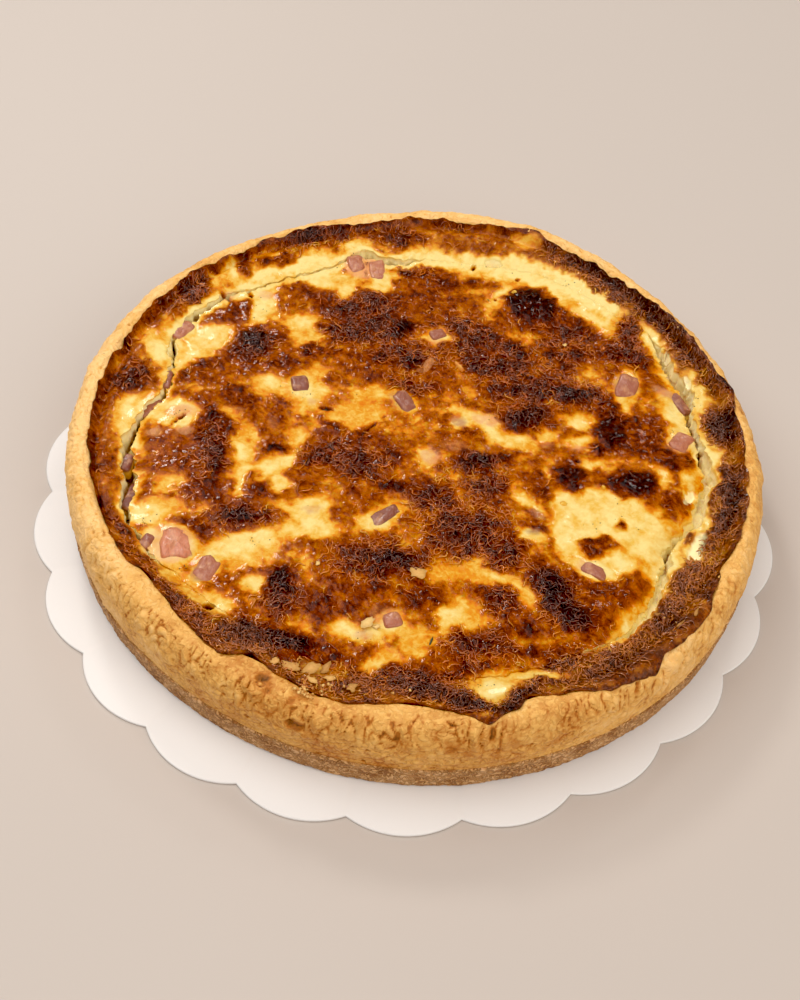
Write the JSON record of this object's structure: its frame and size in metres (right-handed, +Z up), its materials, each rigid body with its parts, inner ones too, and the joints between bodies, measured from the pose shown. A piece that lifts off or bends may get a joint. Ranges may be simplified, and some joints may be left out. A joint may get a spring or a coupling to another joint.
{
  "type": "quiche",
  "caption": "Whole round ham quiche with a puffed pastry rim and a browned, cracked custard top, on its scalloped card",
  "frame": {"origin": "middle of the underside of the round card, on the surface that the card lies on", "axes": "+Z straight up out of the quiche; +Y towards the back and +X to the right as the quiche is usually shown"},
  "size_m": [0.2988, 0.2996, 0.0391],
  "materials": {
    "card": "smooth white coated card",
    "pastry": "baked golden pastry, matte, with upright folds, blisters and crumbs",
    "custard": "baked egg and cheese skin, pale yellow to near black, glossy where it is brown",
    "ham": "cooked ham, moist pink to grey purple"
  },
  "bodies": {
    "root": {"cake_card": "card", "crust": "pastry", "custard": "custard", "ham_01": "ham", "ham_02": "ham", "ham_03": "ham", "ham_04": "ham", "ham_05": "ham", "ham_06": "ham", "ham_07": "ham", "ham_08": "ham", "ham_09": "ham", "ham_10": "ham", "ham_11": "ham", "ham_12": "ham", "ham_13": "ham", "ham_14": "ham", "ham_15": "ham", "ham_16": "ham", "ham_17": "ham", "ham_18": "ham", "ham_19": "ham"}
  },
  "joints": []
}
